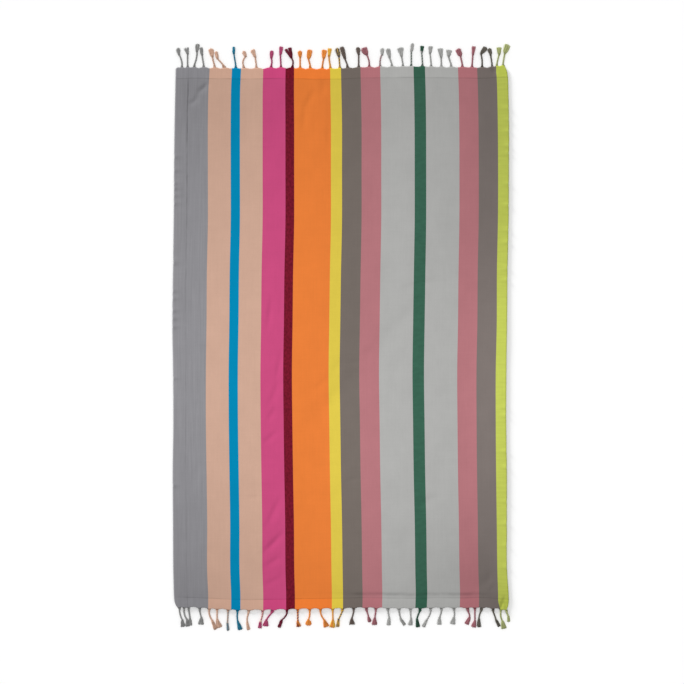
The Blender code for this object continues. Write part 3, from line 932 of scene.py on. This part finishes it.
def add_node(tree, kind, inputs=(), **settings):
    """Adds a node. Its inputs are named, or in order; a node or socket is linked, other values are set."""
    node = tree.nodes.new("ShaderNode" + kind)
    for key, value in settings.items():
        setattr(node, key, value)
    for key, value in inputs.items() if isinstance(inputs, dict) else enumerate(inputs):
        if isinstance(key, str):
            socket = next(one for one in node.inputs if one.enabled and one.name == key)
        else:
            socket = node.inputs[key]
        if isinstance(value, bpy.types.Node):
            value = next(output for output in value.outputs if output.enabled)
        if isinstance(value, bpy.types.NodeSocket):
            tree.links.new(value, socket)
        else:
            socket.default_value = value
    return node


def new_material(name, **constants):
    """A material with a Principled shader; constants go straight on the shader's own sockets."""
    material = bpy.data.materials.new(name)
    material.use_nodes = True
    shader = material.node_tree.nodes["Principled BSDF"]
    for socket, value in constants.items():
        shader.inputs[socket.replace("_", " ")].default_value = value
    return material, material.node_tree, shader


def finish_shader(tree, shader, colour, strength, distance, height):
    """Links the colour, and a height as a bump, to the shader."""
    bump = add_node(tree, "Bump", {"Strength": strength, "Distance": distance, "Height": height})
    tree.links.new(colour.outputs["Vector"], shader.inputs["Base Color"])
    tree.links.new(bump.outputs["Normal"], shader.inputs["Normal"])


def dye_steps(tree, place, which):
    """The dye at a place across the towel, in metres: past each stripe's edge, the next dye."""
    colour = linear(DYES[STRIPES[0].dye][which])
    for stripe, edge in zip(STRIPES[1:], stripe_edges[1:]):
        dye = linear(DYES[stripe.dye][which])
        past = add_node(tree, "Math", (place, float(edge)), operation="GREATER_THAN")
        colour = add_node(tree, "Mix", {"Factor": past, "A": colour, "B": dye}, data_type="RGBA")
    return colour


# %% [markdown]
# ### Plain-woven cotton
#
# The cloth is matt cotton in plain weave: a weave too fine to see from a standing height, faint streaks
# along the warp where a yarn was spun thicker, and fainter bars across it. The weave is a bump of two
# crossed sines at the thread spacing. The streaks are noise stretched along the cloth, as wide as a few
# threads, because a single one is finer than the eye can part. Four stripes have a noise of their own.

# %% Noise, and where it applies
Noise = namedtuple("Noise", "width length detail low high")  # grains in metres, and the factor's range
EVERYWHERE = (
    Noise(0.0042, 0.26, 2.0, 0.987, 1.013),  # streaks of the warp
    Noise(0.0026, 0.045, 1.0, 0.988, 1.012),  # yarns spun thicker for a while
    Noise(0.09, 0.0040, 1.0, 0.990, 1.010),  # bars of the weft
    Noise(0.05, 0.06, 3.0, 0.978, 1.022),  # a soft mottle
)
IN_STRIPE = {
    0: Noise(0.0048, 0.17, 3.0, 0.945, 1.055),  # the two greys of the first stripe
    5: Noise(0.0060, 0.0080, 1.0, 0.76, 1.24),  # flecks in the maroon
    11: Noise(0.020, 0.010, 1.0, 0.94, 1.06),  # blotches in the green
    15: Noise(0.060, 0.0075, 1.0, 0.965, 1.035),  # weft lines in the lime
}
WANDER, STRENGTH = (0.045, 0.045, 2.0), (0.06, 0.06, 2.0)  # grains along a crease line
NOISE_SPAN = (0.3, 0.7)  # the values that a noise mostly keeps to


def stretched_noise(tree, uv, noise):
    """Noise whose grains are width across and length along; its usual span is stretched to low..high."""
    cells = (1 / noise.width, 1 / noise.length, 1)
    cells = add_node(tree, "VectorMath", {0: uv, 1: cells}, operation="MULTIPLY")
    settings = {"Vector": cells, "Scale": 1.0, "Detail": noise.detail, "Roughness": 0.55}
    grain = add_node(tree, "TexNoise", settings).outputs["Fac"]
    return add_node(tree, "MapRange", (grain, *NOISE_SPAN, noise.low, noise.high))


def in_stripe(tree, across, number, value):
    """The value inside one stripe, and 1 in all the others."""
    low, high = float(stripe_edges[number]), float(stripe_edges[number + 1])
    past_low = add_node(tree, "Math", (across, low), operation="GREATER_THAN")
    before_high = add_node(tree, "Math", (across, high), operation="LESS_THAN")
    inside = add_node(tree, "Math", (past_low, before_high), operation="MULTIPLY")
    return add_node(tree, "Mix", {"Factor": inside, "A": 1.0, "B": value})


# %% [markdown]
# Three dark lines run through the dye: the thin one of each heading, and painted shade along two shallow
# folds, the press line inside the bottom heading, only on the right, and the fold down the grey stripe,
# which fades downwards. Each wanders a little and isn't equally strong everywhere.

# %% Lines in the cloth
Line = namedtuple("Line", "half depth wander_mm")
# the press line and the fold are painted shade of shallow folds; the heading's line is its dark weft
HEADING_LINE, PRESS_SHADE_LINE = Line(0.0014, 0.20, 0.6), Line(0.0042, 0.20, 3.0)
FOLD_SHADE_LINE = Line(0.0020, 0.38, 1.5)
LINE_FOOT = 1.7  # the half width of a line's foot, against its half width
PRESS_AT, FOLD_AT = 0.0444, -0.4615  # in from the bottom end, and across the towel
PRESS_SHADE_PART = ((0.0, 0.05, 0.0, 1.0), (0.38, 0.46, 1.0, 0.0))  # across the towel: start, end, values
FOLD_SHADE_PART = ((0.05, 0.64, 0.3, 1.0), (0.755, 0.775, 1.0, 0.25))  # the same, along the towel


def crease_line(tree, uv, coordinate, place, line, where=1.0):
    """A dark line where the coordinate is at the place: 1 - depth * (1 - distance / foot). It draws the
    heading's dark weft, and painted shade along the press line and the fold.
    """
    most = line.wander_mm * MM / 2
    wander = stretched_noise(tree, uv, Noise(*WANDER, -most, most))
    strength = stretched_noise(tree, uv, Noise(*STRENGTH, 0.3, 1.4))
    wandering = add_node(tree, "Math", (coordinate, wander), operation="ADD")
    offset = add_node(tree, "Math", (wandering, place), operation="SUBTRACT")
    distance = add_node(tree, "Math", (offset,), operation="ABSOLUTE")
    dark = add_node(tree, "MapRange", (distance, 0.0, line.half * LINE_FOOT, line.depth, 0.0))
    for factor in (strength, where):
        dark = add_node(tree, "Math", (dark, factor), operation="MULTIPLY")
    return add_node(tree, "Math", (1.0, dark), operation="SUBTRACT")


def where_strong(tree, place, begins, ends):
    """The product of two straight ramps, each given as its start, its end and the values at them."""
    ramps = [add_node(tree, "MapRange", (place, *limits)) for limits in (begins, ends)]
    return add_node(tree, "Math", ramps, operation="MULTIPLY")


def three_lines(tree, uv, across, along):
    """The heading's dark weft line, and painted shade along the press line from the middle to the right and
    along the fold, faint at its ends.
    """
    from_end = add_node(tree, "Math", (along,), operation="ABSOLUTE")
    press_shade_where = where_strong(tree, across, *PRESS_SHADE_PART)
    fold_shade_where = where_strong(tree, along, *FOLD_SHADE_PART)
    return (
        crease_line(tree, uv, from_end, LENGTH / 2 - HEADING, HEADING_LINE),
        crease_line(tree, uv, along, PRESS_AT - LENGTH / 2, PRESS_SHADE_LINE, press_shade_where),
        crease_line(tree, uv, across, FOLD_AT, FOLD_SHADE_LINE, fold_shade_where),
    )


# %% The cloth's material
THREAD, WEAVE_HIGH = 0.0011, 0.00004  # spacing of the threads, and how far they stand out
HEADING_GAMMA, HEADING_GAIN = 1.06, 1.15  # a power above 1 deepens a colour, and a gain lifts it again


def woven_cotton():
    """dye * painted shade * all the noise and lines (two of them painted shade), deeper in the heading, with
    a plain weave as the bump.
    """
    material, tree, shader = new_material(
        "plain-woven cotton, striped",
        Roughness=0.95,
        Specular_IOR_Level=0.03,
        Sheen_Weight=0.02,
        Sheen_Roughness=0.5,
    )
    uv = add_node(tree, "UVMap", uv_map="flat")
    place = add_node(tree, "SeparateXYZ", {0: uv})
    across, along = place.outputs["X"], place.outputs["Y"]
    parts = [stretched_noise(tree, uv, noise) for noise in EVERYWHERE]
    for number, noise in IN_STRIPE.items():
        parts.append(in_stripe(tree, across, number, stretched_noise(tree, uv, noise)))
    # painted shade from the table: the dye is darker towards the ends
    factor = add_node(tree, "Attribute", attribute_name="painted_shade").outputs["Fac"]
    for part in (*parts, *three_lines(tree, uv, across, along)):
        factor = add_node(tree, "Math", (factor, part), operation="MULTIPLY")
    dye = dye_steps(tree, across, IN_CLOTH)
    shaded = add_node(tree, "VectorMath", {0: dye, "Scale": factor}, operation="SCALE")
    heading = add_node(tree, "Attribute", attribute_name="heading").outputs["Fac"]
    deeper = add_node(tree, "MapRange", (heading, 0.0, 1.0, 1.0, HEADING_GAMMA))
    gain = add_node(tree, "MapRange", (heading, 0.0, 1.0, 1.0, HEADING_GAIN))
    deep = add_node(tree, "Gamma", {"Color": shaded, "Gamma": deeper})
    fresh = add_node(tree, "VectorMath", {0: deep, "Scale": gain}, operation="SCALE")
    waves = []
    for coordinate in (across, along):
        turn = add_node(tree, "Math", (coordinate, math.pi / THREAD), operation="MULTIPLY")
        waves.append(add_node(tree, "Math", (turn,), operation="SINE"))
    weave = add_node(tree, "Math", waves, operation="MULTIPLY")
    finish_shader(tree, shader, fresh, 0.7, WEAVE_HIGH, weave)
    return material


# %% [markdown]
# ### Twisted cotton yarn
#
# The fringe is the same dyed warp without the weft. Single fibres stand off it and catch the light, which
# is what the sheen is for. Its colour varies from yarn to yarn by the tone attribute, which also holds
# painted shade on the cords and knots and a painted highlight on each cord's second strand, and along
# each yarn by a short noise.

# %% The fringe's material
FIBRE, FIBRE_HIGH = 0.0016, 0.0002  # the grain of the noise along a yarn, and its height


def cotton_yarn():
    """dye * the yarn's tone, with its painted shade and highlight, * a short noise, which is also the bump.
    """
    material, tree, shader = new_material(
        "twisted cotton yarn",
        Roughness=0.95,
        Specular_IOR_Level=0.05,
        Sheen_Weight=0.04,
        Sheen_Roughness=0.6,
    )
    uv = add_node(tree, "UVMap", uv_map="flat")
    across = add_node(tree, "SeparateXYZ", {0: uv}).outputs["X"]
    dye = dye_steps(tree, across, IN_YARN)
    # the tone attribute holds painted shade on cords and knots and a painted highlight on second strands
    tone = add_node(tree, "Attribute", attribute_name="tone")
    where = add_node(tree, "TexCoord").outputs["Object"]
    fibre = add_node(tree, "TexNoise", {"Vector": where, "Scale": 1 / FIBRE, "Detail": 2.0})
    dust = add_node(tree, "MapRange", (fibre.outputs["Fac"], *NOISE_SPAN, 0.9, 1.1))
    factor = add_node(tree, "Math", (tone.outputs["Fac"], dust), operation="MULTIPLY")
    colour = add_node(tree, "VectorMath", {0: dye, "Scale": factor}, operation="SCALE")
    finish_shader(tree, shader, colour, 0.6, FIBRE_HIGH, fibre.outputs["Fac"])
    return material


cloth.data.materials.append(woven_cotton())
yarn = cotton_yarn()
for piece in fringes.values():
    piece.data.materials.append(yarn)
print("materials:", cloth.data.materials[0].name, "and", yarn.name)

# %% [markdown]
# ## What stands for what
#
# The cloth and the two fringes replace the plain solids of the measured model.

# %% Tie the pieces to the model
for piece, node, slot in (
    (cloth, "towel_cloth", "striped_cotton"),
    (fringes[1], "fringe_top", "fringe_yarn"),
    (fringes[-1], "fringe_bottom", "fringe_yarn"),
):
    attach(piece, "root")
    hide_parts(node)

# %% [markdown]
# ## Studio
#
# The towel lies on a white floor and is seen from straight above. An even dome of light shows the colours
# as they are, and one low, wide light from the upper left grazes the cloth: it draws the creases, and lays
# a soft shadow along the right and bottom edges.

# %% Floor
FLOOR_SIDE, PAPER_WHITE = 16.0, 0.98
bpy.ops.mesh.primitive_plane_add(size=FLOOR_SIDE)
floor = bpy.context.object
floor.name = "studio_floor"
white, _, _ = new_material(
    "white studio paper", Base_Color=(*[PAPER_WHITE] * 3, 1.0), Roughness=0.9, Specular_IOR_Level=0.0
)
floor.data.materials.append(white)

# %% Light
DOME_STRENGTH = 0.73
LOW_STRENGTH, LOW_ANGLE = 4.4, math.radians(13)
LOW_HIGH, LOW_FROM = math.radians(10), math.radians(135)  # above the floor, and round from +X
SOFTBOX_WATTS, SOFTBOX_SIZE, SOFTBOX_HIGH = 9.0, (3.0, 1.6), 3.4
world = bpy.data.worlds.new("studio dome")
bpy.context.scene.world = world
world.use_nodes = True
world.node_tree.nodes["Background"].inputs["Color"].default_value = (1.0, 1.0, 1.0, 1.0)
world.node_tree.nodes["Background"].inputs["Strength"].default_value = DOME_STRENGTH

low_light = bpy.data.lights.new("low light", "SUN")
low_light.energy, low_light.angle = LOW_STRENGTH, LOW_ANGLE
low = add_object("low light", low_light, turn=(math.pi / 2 - LOW_HIGH, 0.0, LOW_FROM + math.pi / 2))

# only the cloth blocks the low light, so the yarns of the fringe don't lie in their own long shadows
blockers = bpy.data.collections.new("blocks the low light")
blockers.objects.link(cloth)
low.light_linking.blocker_collection = blockers

softbox = bpy.data.lights.new("softbox", "AREA")
softbox.shape, softbox.energy = "RECTANGLE", SOFTBOX_WATTS
softbox.size, softbox.size_y = SOFTBOX_SIZE
add_object("softbox", softbox, location=(0.0, 0.0, SOFTBOX_HIGH))

# %% Camera
LENS, SENSOR, VIEW_WIDTH = 85.0, 36.0, 2.0438
CAMERA_OVER = (0.003, -0.011)
camera_data = bpy.data.cameras.new("camera")
camera_data.lens, camera_data.sensor_width = LENS, SENSOR
camera = add_object("camera", camera_data, location=(*CAMERA_OVER, VIEW_WIDTH * LENS / SENSOR))
bpy.context.scene.camera = camera
bpy.context.scene.view_settings.view_transform = "Standard"
print("the camera stands", round(camera.location.z, 2), "m above the floor")

# %% Finish
bpy.context.view_layer.update()
